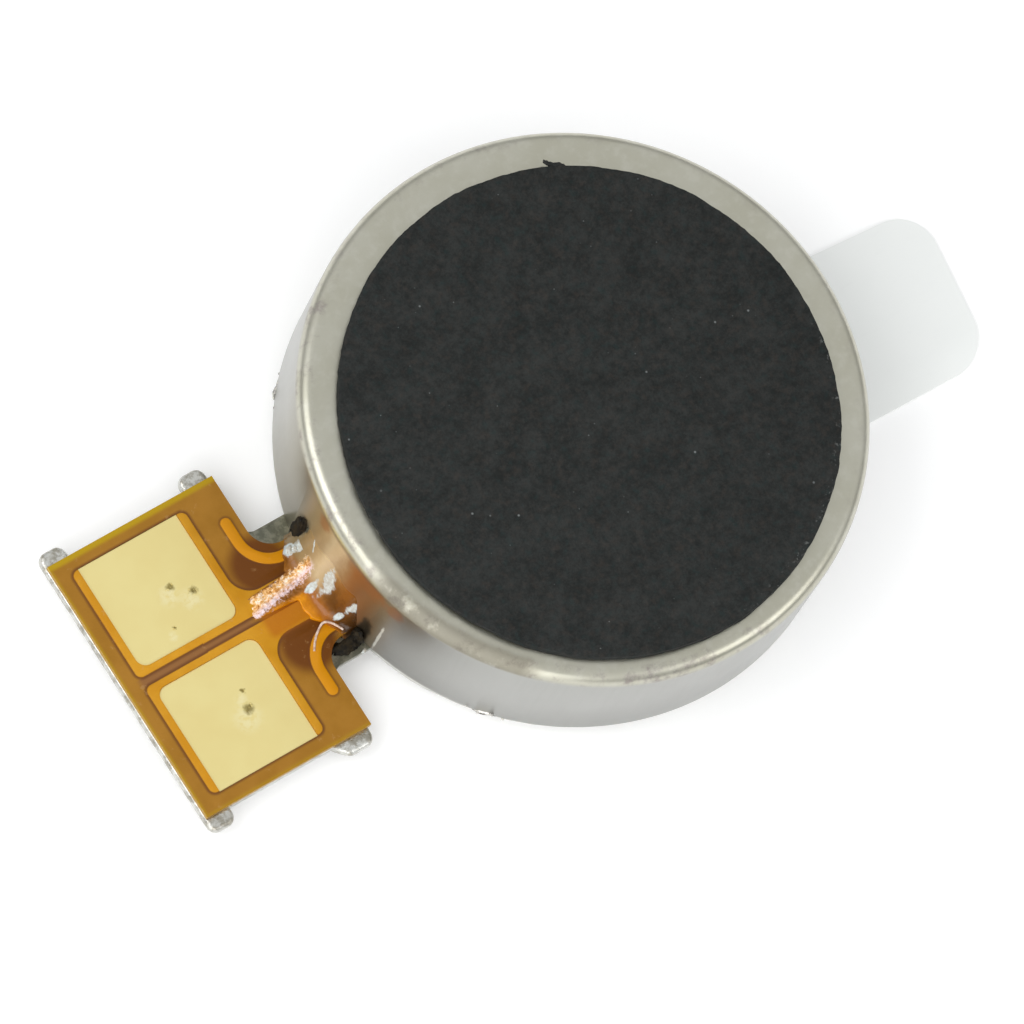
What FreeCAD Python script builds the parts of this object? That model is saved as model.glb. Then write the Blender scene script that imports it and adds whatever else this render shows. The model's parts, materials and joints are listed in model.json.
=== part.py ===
import FreeCAD, Part
import math
import os

# A coin vibration motor, 10 mm across and 2.7 mm tall over its metal body, with a stiffened
# contact tail, a foam pad on top and an adhesive pad with its release liner underneath.
# Millimetres, +Z up. The origin is on the motor's axis, level with the underside of the
# release liner. +X points to the liner's pull tab and -X to the contact tail.

# ---- driving dimensions: the body ----
body_r = 5.0
body_height = 2.7
sheet_t = 0.20
case_corner_r = 0.25
case_inner_corner_r = 0.10
bracket_disc_r = 4.96

# ---- driving dimensions: the layers under and over the body ----
liner_t = 0.05
liner_r = 4.75
adhesive_t = 0.15
adhesive_r = 4.60
foam_film_t = 0.03
foam_film_r = 4.35
foam_t = 0.17
foam_r = 4.42
foam_off_centre = (-0.07, -0.17)

# the liner's pull tab: its two long sides spread a little and its end is cut at a slant
tab_corners = [(3.0, 1.09), (8.30, 0.71), (7.91, -2.27), (3.0, -2.18)]
tab_corner_r = 0.90

# ---- driving dimensions: the contact tail ----
tail_end_x = -8.97
tail_in_x = -5.60
tail_half = 2.56
ear_reach = 2.84
ear_w = 0.52
ear_corner_r = 0.18
ear_root_r = 0.06
neck_half = 1.38
neck_corner_r = 0.20

# ---- driving dimensions: the flexible circuit on the tail ----
film_t = 0.05
copper_t = 0.035
cover_t = 0.035
plating_t = 0.02
flex_end_x = -8.93
flex_in_x = -5.57
flex_neck_half = 0.97
flex_neck_r = 0.45
flex_hub_r = 2.10
flex_hub_hole_r = 0.74
cover_end_x = -2.25

# one copper pad; the other is its mirror image across the tail's centre line
copper_x = (-8.64, -6.33)
copper_y = (0.09, 2.265)
copper_corner_r = 0.12
flare_r = 0.42
trace_y = (0.08, 0.44)
brush_land_x = (-1.62, -1.05)
brush_land_y = 1.30

# the gold-plated window in each pad
plated_x = (-8.485, -6.495)
plated_y = (0.235, 2.265)
plated_corner_r = 0.18
window_gap = 0.015

# the copper strips that stop the flex from tearing at the neck
guard_w = 0.20
guard_x = -5.82
guard_top_y = 1.71
guard_bend_y = 1.34
guard_bend_r = 0.60

# ---- driving dimensions: the fixed parts inside ----
shaft_r = 0.40
collar_r = 0.70
collar_height = 0.45
detent_r = (2.35, 4.20)
detent_slot_half = 1.05
magnet_r = (2.30, 4.25)
magnet_t = 0.60
magnet_chamfer = 0.05
brush_y = (0.875, 1.225)
brush_t = 0.06
brush_slot_y = (1.02, 1.08)
washer_t = 0.05
washer_r = (0.43, 0.80)

# ---- driving dimensions: the rotor ----
air_gap = 0.15
board_t = 0.15
board_half_angle = 145.0
board_hub_r = 1.85
rotor_r = 4.50
bearing_r = (0.42, 0.72)
bearing_end_play = 0.03
segment_t = 0.03
segment_r = (0.85, 1.75)
segment_count = 6
segment_gap_angle = 6.0
coil_mid_angle = 92.0
coil_half_angle = 46.0
coil_r = (1.35, 4.40)
coil_wire_band = (0.85, 22.0)
coil_t = 0.94
weight_half_angle = 42.0
weight_r = (2.35, 4.50)
mould_t = 1.00
mould_half_angle = 143.0
mould_hub_r = 1.30

# ---- driving dimensions: the notch, its seal and the welds ----
notch_half = 1.10
notch_height = 0.32
seal_radii = (0.60, 1.25, 0.50)
weld_angles = (42.0, 138.0, 222.0, 318.0)
weld_r = 0.24
weld_centre_r = 4.85

# ---- levels worked out from the dimensions above ----
z_adhesive = liner_t
z_bracket = z_adhesive + adhesive_t
z_floor = z_bracket + sheet_t
z_case_top = z_bracket + body_height
z_ceiling = z_case_top - sheet_t
z_foam = z_case_top + foam_film_t
z_copper = z_floor + film_t
z_cover = z_copper + copper_t
z_flex_top = z_cover + cover_t
z_magnet_top = z_flex_top + magnet_t
z_board = z_magnet_top + air_gap
z_board_top = z_board + board_t
z_rotor_top = z_board_top + mould_t
z_collar_top = z_floor + collar_height
z_bearing = z_collar_top + washer_t + bearing_end_play
case_inner_r = body_r - sheet_t

UP = FreeCAD.Vector(0, 0, 1)
nodes = {}


def box(x, y, z):
    """A box from three (low, high) pairs."""
    corner = FreeCAD.Vector(x[0], y[0], z[0])
    return Part.makeBox(x[1] - x[0], y[1] - y[0], z[1] - z[0], corner)


def disc(radius, low, high, centre=(0.0, 0.0)):
    return Part.makeCylinder(radius, high - low, FreeCAD.Vector(centre[0], centre[1], low), UP)


def ring(radii, low, high, centre=(0.0, 0.0)):
    outside = disc(radii[1], low, high, centre)
    return outside.cut(disc(radii[0], low, high, centre))


def prism(points, low, high):
    """A flat outline raised from one level to another."""
    corners = [FreeCAD.Vector(x, y, low) for x, y in points]
    outline = Part.makePolygon(corners + [corners[0]])
    return Part.Face(outline).extrude(FreeCAD.Vector(0, 0, high - low))


def round_uprights(shape, places, radius):
    """Rounds the upright edges that stand at the given (x, y) places."""
    edges = []
    for edge in shape.Edges:
        if len(edge.Vertexes) != 2:
            continue
        a, b = [vertex.Point for vertex in edge.Vertexes]
        upright = math.hypot(a.x - b.x, a.y - b.y) < 1e-6
        if upright and any(math.hypot(a.x - x, a.y - y) < 1e-4 for x, y in places):
            edges.append(edge)
    return shape.makeFillet(radius, edges)


def at_angle(radius, angle):
    turn = math.radians(angle)
    return radius * math.cos(turn), radius * math.sin(turn)


def sector(radii, mid, half, low, high):
    """A slice of a ring, half degrees to each side of the middle angle."""
    slab = Part.makeCylinder(radii[1], high - low, FreeCAD.Vector(0, 0, low), UP, 2 * half)
    slab.rotate(FreeCAD.Vector(0, 0, 0), UP, mid - half)
    return slab.cut(disc(radii[0], low, high))


def mirrored(shape):
    """The same piece on the other side of the tail's centre line."""
    return shape.mirror(FreeCAD.Vector(0, 0, 0), FreeCAD.Vector(0, 1, 0))


def clean(shape):
    return shape.removeSplitter()


# ---- casing ----
def case():
    """The drawn cup, with a notch at its foot where the flex goes in."""
    cup = disc(body_r, z_floor, z_case_top)
    rim = [e for e in cup.Edges if e.BoundBox.ZMin > z_case_top - 1e-6]
    cup = cup.makeFillet(case_corner_r, rim)
    hollow = disc(case_inner_r, z_floor, z_ceiling)
    ceiling = [e for e in hollow.Edges if e.BoundBox.ZMin > z_ceiling - 1e-6]
    hollow = hollow.makeFillet(case_inner_corner_r, ceiling)
    notch = box((-body_r - 1, -body_r + 1), (-notch_half, notch_half), (z_floor, z_floor + notch_height))
    return cup.cut(hollow).cut(notch)


def tail_plate():
    """The flat end of the bracket, with four small ears left from its punching strip."""
    ear_in = tail_end_x + ear_w
    ear_out = tail_in_x - ear_w
    slope_foot = ear_out - 0.22
    points = [
        (-4.5, neck_half),
        (tail_in_x, neck_half),
        (tail_in_x, ear_reach),
        (ear_out, ear_reach),
        (ear_out, tail_half),
        (ear_in, tail_half),
        (ear_in, ear_reach),
        (tail_end_x, ear_reach),
        (tail_end_x, -ear_reach),
        (ear_in, -ear_reach),
        (ear_in, -tail_half),
        (slope_foot, -tail_half),
        (ear_out, -ear_reach),
        (tail_in_x, -ear_reach),
        (tail_in_x, -neck_half),
        (-4.5, -neck_half),
    ]
    plate = prism(points, z_bracket, z_floor)
    tips = [p for p in points if abs(p[1]) == ear_reach]
    roots = [(ear_out, tail_half), (ear_in, tail_half), (ear_in, -tail_half)]
    plate = round_uprights(plate, tips, ear_corner_r)
    plate = round_uprights(plate, roots, ear_root_r)
    return round_uprights(plate, [(tail_in_x, neck_half), (tail_in_x, -neck_half)], neck_corner_r)


def bracket():
    """Floor disc, tail plate and the drawn collar that holds the shaft, in one stamping."""
    floor = disc(bracket_disc_r, z_bracket, z_floor).fuse(tail_plate())
    collar = disc(collar_r, z_floor, z_collar_top)
    bore = disc(shaft_r, z_bracket, z_collar_top)
    return clean(floor.fuse(collar).cut(bore))


def weld_spots():
    """Four laser-weld beads on the seam between the case and the bracket."""
    beads = []
    for angle in weld_angles:
        x, y = at_angle(weld_centre_r, angle)
        bead = Part.makeSphere(weld_r, FreeCAD.Vector(x, y, z_floor))
        beads.append(bead.cut(disc(body_r, z_floor - 1, z_floor + 1)))
    return Part.makeCompound(beads)


def seal_resin():
    """The resin that closes the notch and runs out over the neck of the flex onto the bracket."""
    blob = Part.makeSphere(1.0)
    stretch = FreeCAD.Matrix()
    stretch.scale(*seal_radii)
    blob = blob.transformGeometry(stretch)
    blob.translate(FreeCAD.Vector(-body_r, 0, z_flex_top))
    outside = blob.cut(disc(body_r, z_bracket - 1, z_case_top))
    outside = outside.cut(box((-7, -4), (-3, 3), (z_bracket - 1, z_floor)))
    plug = disc(body_r, z_floor, z_floor + notch_height).cut(disc(case_inner_r, z_bracket, z_case_top))
    plug = plug.common(box((-6, -4), (-notch_half, notch_half), (z_floor, z_floor + notch_height)))
    return clean(outside.fuse(plug).cut(flex_outline(z_floor, z_flex_top, cover_end_x)))


# ---- layers under and over the body ----
def release_liner():
    tab = prism(tab_corners, 0, liner_t)
    tab = round_uprights(tab, tab_corners[1:3], tab_corner_r)
    return clean(disc(liner_r, 0, liner_t).fuse(tab))


def adhesive_pad():
    return disc(adhesive_r, z_adhesive, z_bracket)


def foam_adhesive():
    return disc(foam_film_r, z_case_top, z_foam, foam_off_centre)


def foam_pad():
    return disc(foam_r, z_foam, z_foam + foam_t, foam_off_centre)


# ---- flexible circuit ----
def flex_outline(low, high, hub_end_x):
    """The board, its neck and the rounded corners between them."""
    points = [
        (flex_end_x, -tail_half),
        (flex_in_x, -tail_half),
        (flex_in_x, -flex_neck_half),
        (hub_end_x, -flex_neck_half),
        (hub_end_x, flex_neck_half),
        (flex_in_x, flex_neck_half),
        (flex_in_x, tail_half),
        (flex_end_x, tail_half),
    ]
    film = prism(points, low, high)
    return round_uprights(film, [points[2], points[5]], flex_neck_r)


def flex_base():
    """The polyimide film: the board, the neck and the round hub that carries the brushes."""
    film = flex_outline(z_floor, z_copper, -1.5).fuse(disc(flex_hub_r, z_floor, z_copper))
    return clean(film.cut(disc(flex_hub_hole_r, z_floor, z_copper)))


def copper_trace():
    """One pad, its trace through the neck and the land that its brush is soldered to."""
    pad = box(copper_x, copper_y, (z_copper, z_cover))
    far = [(copper_x[0], copper_y[0]), (copper_x[0], copper_y[1]), (copper_x[1], copper_y[1])]
    pad = round_uprights(pad, far, copper_corner_r)
    run = box((copper_x[1] - 0.5, brush_land_x[1]), trace_y, (z_copper, z_cover))
    land = box(brush_land_x, (trace_y[0], brush_land_y), (z_copper, z_cover))
    copper = clean(pad.fuse(run).fuse(land))
    return round_uprights(copper, [(copper_x[1], trace_y[1])], flare_r)


def tear_guard():
    """A narrow copper strip that follows the corner between the board and its neck."""
    half = guard_w / 2
    centre = (guard_x + guard_bend_r, guard_bend_y)
    bend = ring((guard_bend_r - half, guard_bend_r + half), z_copper, z_cover, centre)
    bend = bend.common(box((guard_x - 1, centre[0]), (centre[1] - 1, centre[1]), (z_copper, z_cover)))
    leg = box((guard_x - half, guard_x + half), (guard_bend_y, guard_top_y), (z_copper, z_cover))
    ends = [(guard_x, guard_top_y), (centre[0], guard_bend_y - guard_bend_r)]
    strip = bend.fuse(leg)
    for end in ends:
        strip = strip.fuse(disc(half, z_copper, z_cover, end))
    return clean(strip)


def plated_outline(gap, low, high):
    """The plated window, rounded only at its two inner corners."""
    window = box((plated_x[0] - gap, plated_x[1] + gap), (plated_y[0] - gap, plated_y[1] + gap), (low, high))
    inner = [(plated_x[0] - gap, plated_y[0] - gap), (plated_x[1] + gap, plated_y[0] - gap)]
    return round_uprights(window, inner, plated_corner_r + gap)


def contact_pad():
    return plated_outline(0.0, z_cover, z_cover + plating_t)


def flex_coverlay(coppers):
    """The amber cover film, with the copper sunk in it and a window over each pad."""
    film = flex_outline(z_copper, z_flex_top, cover_end_x)
    for copper in coppers:
        film = film.cut(copper)
    window = plated_outline(window_gap, z_cover, z_flex_top)
    return clean(film.cut(window).cut(mirrored(window)))


# ---- fixed parts inside ----
def shaft():
    """The steel pin that the rotor turns on, from the bracket to the ceiling of the case."""
    return disc(shaft_r, z_bracket, z_ceiling)


def detent_plate():
    """A thin steel ring under the magnet, open where the flex comes in."""
    plate = ring(detent_r, z_floor, z_flex_top)
    slot = box((-body_r, 0), (-detent_slot_half, detent_slot_half), (z_floor, z_flex_top))
    return plate.cut(slot)


def magnet():
    ring_magnet = ring(magnet_r, z_flex_top, z_magnet_top)
    top = [e for e in ring_magnet.Edges if e.BoundBox.ZMin > z_magnet_top - 1e-6]
    return ring_magnet.makeChamfer(magnet_chamfer, top)


def brush():
    """A bent leaf spring, forked at its tip, that presses on the commutator."""
    foot = z_cover
    lower = [(-1.60, foot), (-1.08, foot), (0.70, foot + 0.645), (0.90, foot + 0.675), (1.20, foot + 0.595)]
    upper = [(x, z + brush_t) for x, z in reversed(lower)]
    corners = [FreeCAD.Vector(x, brush_y[0], z) for x, z in lower + upper]
    leaf = Part.Face(Part.makePolygon(corners + [corners[0]]))
    leaf = leaf.extrude(FreeCAD.Vector(0, brush_y[1] - brush_y[0], 0))
    return leaf.cut(box((-0.3, 1.5), brush_slot_y, (z_floor, z_board)))


def brush_solder_joint():
    """A low dome of solder on the brush's foot."""
    x = -1.36
    y = sum(brush_y) / 2
    foot_top = z_cover + brush_t
    dome = Part.makeSphere(0.20, FreeCAD.Vector(x, y, foot_top - 0.12))
    return dome.cut(box((-3, 0), (0, 3), (0, foot_top)))


def washer(low):
    return ring(washer_r, low, low + washer_t)


# ---- rotor ----
def bearing():
    return ring(bearing_r, z_bearing, z_rotor_top)


def rotor_board():
    """The fan-shaped circuit board that carries the coils above and the commutator below."""
    fan = sector((bearing_r[1], rotor_r), 0, board_half_angle, z_board, z_board_top)
    return clean(fan.fuse(ring((bearing_r[1], board_hub_r), z_board, z_board_top)))


def commutator():
    step = 360.0 / segment_count
    half = (step - segment_gap_angle) / 2
    segments = [sector(segment_r, k * step, half, z_board - segment_t, z_board) for k in range(segment_count)]
    return Part.makeCompound(segments)


def coil(mid):
    """A flat coil of enamelled wire, wound to the shape of its part of the rotor."""
    band, band_angle = coil_wire_band
    top = z_board_top + coil_t
    outer = sector(coil_r, mid, coil_half_angle, z_board_top, top)
    places = []
    for angle in (mid - coil_half_angle, mid + coil_half_angle):
        places.extend([at_angle(coil_r[0], angle), at_angle(coil_r[1], angle)])
    outer = round_uprights(outer, places, 0.35)
    inside = (coil_r[0] + band, coil_r[1] - band)
    hole_half = coil_half_angle - band_angle
    hole = sector(inside, mid, hole_half, z_board_top, top)
    places = []
    for angle in (mid - hole_half, mid + hole_half):
        places.extend([at_angle(inside[0], angle), at_angle(inside[1], angle)])
    return outer.cut(round_uprights(hole, places, 0.15))


def counterweight():
    return sector(weight_r, 0, weight_half_angle, z_board_top, z_rotor_top)


def rotor_mould(held):
    """The resin that holds the coils and the weight on the board and round the bearing."""
    body = sector((bearing_r[1], rotor_r), 0, mould_half_angle, z_board_top, z_rotor_top)
    body = body.fuse(ring((bearing_r[1], mould_hub_r), z_board_top, z_rotor_top))
    for piece in held:
        body = body.cut(piece)
    return clean(body)


def coil_solder_joints():
    """The four coil ends, soldered to the underside of the board inside the magnet's bore."""
    joints = []
    for angle in (60.0, 125.0, 235.0, 300.0):
        joints.append(disc(0.10, z_board - 0.07, z_board, at_angle(1.98, angle)))
    return Part.makeCompound(joints)


def build():
    nodes["case"] = case()
    nodes["bracket"] = bracket()
    nodes["weld_spots"] = weld_spots()
    nodes["seal_resin"] = seal_resin()
    nodes["release_liner"] = release_liner()
    nodes["adhesive_pad"] = adhesive_pad()
    nodes["foam_adhesive"] = foam_adhesive()
    nodes["foam_pad"] = foam_pad()

    trace = copper_trace()
    guard = tear_guard()
    coppers = [trace, mirrored(trace), guard, mirrored(guard)]
    nodes["flex_base"] = flex_base()
    nodes["flex_trace_positive"] = coppers[0]
    nodes["flex_trace_negative"] = coppers[1]
    nodes["flex_tear_guards"] = Part.makeCompound(coppers[2:])
    nodes["flex_coverlay"] = flex_coverlay(coppers)
    nodes["contact_pad_positive"] = contact_pad()
    nodes["contact_pad_negative"] = mirrored(contact_pad())

    nodes["shaft"] = shaft()
    nodes["detent_plate"] = detent_plate()
    nodes["magnet"] = magnet()
    nodes["brush_positive"] = brush()
    nodes["brush_negative"] = mirrored(brush())
    solder = brush_solder_joint()
    nodes["brush_solder_joints"] = Part.makeCompound([solder, mirrored(solder)])
    nodes["washer_lower"] = washer(z_collar_top)

    coil_left = coil(coil_mid_angle)
    coil_right = coil(-coil_mid_angle)
    weight = counterweight()
    nodes["bearing"] = bearing()
    nodes["washer_upper"] = washer(z_rotor_top)
    nodes["rotor_board"] = rotor_board()
    nodes["commutator"] = commutator()
    nodes["coil_left"] = coil_left
    nodes["coil_right"] = coil_right
    nodes["coil_solder_joints"] = coil_solder_joints()
    nodes["counterweight"] = weight
    nodes["rotor_mould"] = rotor_mould([coil_left, coil_right, weight])


build()
os.makedirs("parts", exist_ok=True)
for name, shape in nodes.items():
    shape.exportStep("parts/" + name + ".step")
    bounds = shape.BoundBox
    print(
        f"{name:22s} solids {len(shape.Solids)} valid {shape.isValid()} volume {shape.Volume:9.4f}"
        f"  x {bounds.XMin:7.3f} {bounds.XMax:7.3f}  y {bounds.YMin:7.3f} {bounds.YMax:7.3f}"
        f"  z {bounds.ZMin:6.3f} {bounds.ZMax:6.3f}"
    )
print(len(nodes), "nodes")
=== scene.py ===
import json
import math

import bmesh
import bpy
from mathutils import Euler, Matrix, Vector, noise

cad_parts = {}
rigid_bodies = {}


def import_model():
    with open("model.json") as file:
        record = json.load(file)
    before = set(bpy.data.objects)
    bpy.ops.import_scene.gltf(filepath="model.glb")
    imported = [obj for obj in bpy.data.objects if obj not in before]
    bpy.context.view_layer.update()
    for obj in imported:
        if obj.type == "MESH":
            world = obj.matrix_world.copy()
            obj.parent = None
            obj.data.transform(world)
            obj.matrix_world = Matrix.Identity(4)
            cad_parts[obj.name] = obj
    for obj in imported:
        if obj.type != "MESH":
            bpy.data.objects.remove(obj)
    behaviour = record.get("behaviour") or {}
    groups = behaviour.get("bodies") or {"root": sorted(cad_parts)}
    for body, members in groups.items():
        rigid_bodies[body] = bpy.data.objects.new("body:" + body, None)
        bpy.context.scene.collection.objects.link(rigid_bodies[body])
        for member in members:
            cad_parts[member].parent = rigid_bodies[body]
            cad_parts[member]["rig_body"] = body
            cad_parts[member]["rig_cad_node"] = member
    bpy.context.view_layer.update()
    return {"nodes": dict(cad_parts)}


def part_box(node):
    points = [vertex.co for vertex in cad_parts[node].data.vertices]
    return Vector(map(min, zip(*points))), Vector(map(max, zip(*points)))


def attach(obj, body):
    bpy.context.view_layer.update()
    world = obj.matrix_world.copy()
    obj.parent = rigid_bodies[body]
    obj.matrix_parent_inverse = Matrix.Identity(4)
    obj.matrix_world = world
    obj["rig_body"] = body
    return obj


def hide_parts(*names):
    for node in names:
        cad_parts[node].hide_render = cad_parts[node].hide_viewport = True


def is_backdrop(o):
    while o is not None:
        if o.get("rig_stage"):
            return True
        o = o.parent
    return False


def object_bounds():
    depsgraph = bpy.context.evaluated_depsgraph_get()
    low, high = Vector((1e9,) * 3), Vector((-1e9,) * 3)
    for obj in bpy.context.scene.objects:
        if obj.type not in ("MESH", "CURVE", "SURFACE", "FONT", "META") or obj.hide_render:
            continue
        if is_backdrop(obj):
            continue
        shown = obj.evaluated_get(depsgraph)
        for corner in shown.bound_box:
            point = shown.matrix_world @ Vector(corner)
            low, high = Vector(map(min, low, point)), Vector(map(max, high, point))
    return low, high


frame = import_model()

# %% [markdown]
# # A coin vibration motor, dressed piece by piece
#
# The CAD model already holds every size, so this lesson never measures anything twice. It asks the
# frame where a piece is, models a better looking one in the same place, and gives each surface a
# finish. Everything is in metres, and the motor is only 10 mm across, so lengths are written in
# millimetres and multiplied by MM. Edges are picked by where they are, and then NEAR or a HAIR away
# counts as being there.

MM = 0.001
NEAR = 0.01 * MM
HAIR = 0.001 * MM
scene = bpy.context.scene


# %% [markdown]
# ## Small tools for modelling by hand
#
# An operator works on whatever is selected, and the frame arrives with all of its nodes selected.
# So each step first selects one object alone, and in edit mode it picks faces or edges by where
# they are or which way they point.

# %% Choosing an object, and faces or edges of it
def deselect():
    bpy.ops.object.select_all(action="DESELECT")


def only(piece):
    """Selects one object and nothing else."""
    if bpy.context.object and bpy.context.object.mode != "OBJECT":
        bpy.ops.object.mode_set(mode="OBJECT")
    deselect()
    piece.select_set(True)
    bpy.context.view_layer.objects.active = piece


def pick(piece, test=lambda part: True, kind="FACE"):
    """Goes into edit mode and selects the faces or edges that pass the test."""
    only(piece)
    bpy.ops.object.mode_set(mode="EDIT")
    bpy.ops.mesh.select_mode(type=kind)
    bpy.ops.mesh.select_all(action="DESELECT")
    mesh = bmesh.from_edit_mesh(piece.data)
    chosen = 0
    for part in mesh.faces if kind == "FACE" else mesh.edges:
        if test(part):
            part.select_set(True)
            chosen += 1
    mesh.select_flush_mode()
    bmesh.update_edit_mesh(piece.data)
    return chosen


def leave(piece):
    """Back to object mode."""
    bpy.ops.object.mode_set(mode="OBJECT")
    return piece


def upright(edge):
    run = edge.verts[0].co - edge.verts[1].co
    return math.hypot(run.x, run.y) < HAIR


# %% Adding, cutting and finishing
def call(piece, name):
    piece.name = name
    piece.data.name = name
    return piece


def named(name):
    """Puts the new primitive's place into its mesh and names it."""
    piece = call(bpy.context.object, name)
    bpy.ops.object.transform_apply(location=True, rotation=True, scale=True)
    return piece


def add_box(name, low, high):
    low, high = Vector(low), Vector(high)
    deselect()
    bpy.ops.mesh.primitive_cube_add(size=1, location=(low + high) / 2, scale=high - low)
    return named(name)


def add_round(name, radius, low, high, centre=(0, 0), corners=256):
    deselect()
    size = {"vertices": corners, "radius": radius, "depth": high - low}
    bpy.ops.mesh.primitive_cylinder_add(location=(*centre, (low + high) / 2), **size)
    return named(name)


def round_edge(piece, test, radius, steps):
    """Rounds the edges that pass the test, and says how many they are."""
    count = pick(piece, test, "EDGE")
    bpy.ops.mesh.bevel(offset=radius, segments=steps, profile=0.5, affect="EDGES")
    leave(piece)
    return count


def use(piece, kind, **settings):
    """Adds a modifier, sets it and applies it."""
    only(piece)
    modifier = piece.modifiers.new(kind.title(), kind)
    for key, value in settings.items():
        setattr(modifier, key, value)
    bpy.ops.object.modifier_apply(modifier=modifier.name)


def soften(piece, width, steps, angle):
    """Bevels every edge that is sharper than an angle in degrees."""
    limit = {"limit_method": "ANGLE", "angle_limit": math.radians(angle)}
    use(piece, "BEVEL", width=width, segments=steps, **limit)


def combine(piece, tool, how):
    """A boolean with a second object, which is then thrown away."""
    use(piece, "BOOLEAN", object=tool, operation=how, solver="EXACT")
    bpy.data.objects.remove(tool)


def join(pieces, name):
    only(pieces[0])
    for piece in pieces[1:]:
        piece.select_set(True)
    bpy.ops.object.join()
    return call(pieces[0], name)


def copy_of(node, name):
    """An editable copy of a CAD node: triangles joined up, and each flat face made whole."""
    only(frame["nodes"][node])
    bpy.ops.object.duplicate()
    piece = call(bpy.context.object, name)
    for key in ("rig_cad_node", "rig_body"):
        if key in piece:
            del piece[key]
    piece.parent = None
    pick(piece)
    bpy.ops.mesh.remove_doubles(threshold=HAIR / 10)
    bpy.ops.mesh.dissolve_limited(angle_limit=math.radians(1))
    return leave(piece)


def smooth(piece, angle=35):
    only(piece)
    bpy.ops.object.shade_smooth_by_angle(angle=math.radians(angle))
    return piece


def place(piece, body, slot, *nodes):
    """Rides the piece on its body, and lets it stand for the CAD nodes named."""
    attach(piece, body)
    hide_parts(*nodes)
    print(f"{piece.name}: {len(piece.data.polygons)} faces, stands for {list(nodes)}")


# %% [markdown]
# ## Shader maths as plain expressions
#
# A material is a graph of nodes, and drawing it in code soon gets long. A small class wraps one
# output socket, so that `1 - mask * 0.5` adds the Math nodes by itself. Every other node is made by
# one method that takes its type, its settings and its inputs. A finish starts from one colour, and
# is then painted over, coat by coat, wherever a mask says so.

# %% A wrapped socket
def maths(operation):
    """A method that adds one Math node."""
    return lambda value, *others: value.reckon(operation, value, *others)


class Value:
    """A number, colour or vector in a material. Arithmetic on it adds Math nodes."""

    def __init__(self, finish, socket):
        self.finish = finish
        self.socket = socket

    def reckon(self, operation, *terms):
        inputs = dict(enumerate(terms))
        return self.finish.add("ShaderNodeMath", {"operation": operation}, inputs)

    __add__ = __radd__ = maths("ADD")
    __mul__ = __rmul__ = maths("MULTIPLY")
    __sub__ = maths("SUBTRACT")
    __truediv__ = maths("DIVIDE")
    __pow__ = maths("POWER")
    __abs__ = maths("ABSOLUTE")
    most = maths("MAXIMUM")
    least = maths("MINIMUM")
    sine = maths("SINE")

    def __rsub__(self, other):
        return self.reckon("SUBTRACT", other, self)

    def step(self, start, end):
        """0 below start, 1 above end and a soft slope between. A start above end turns it round."""
        inputs = {"Value": self, "From Min": min(start, end), "From Max": max(start, end)}
        settings = {"interpolation_type": "SMOOTHSTEP"}
        rise = self.finish.add("ShaderNodeMapRange", settings, inputs)
        return rise if start < end else 1 - rise


# %% A material that grows by expressions
def rgb(red, green, blue):
    """A colour as a screen shows it, 0 to 255, in the renderer's own linear numbers."""
    parts = [c / 255 for c in (red, green, blue)]
    return (*[c / 12.92 if c <= 0.04045 else ((c + 0.055) / 1.055) ** 2.4 for c in parts], 1)


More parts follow.
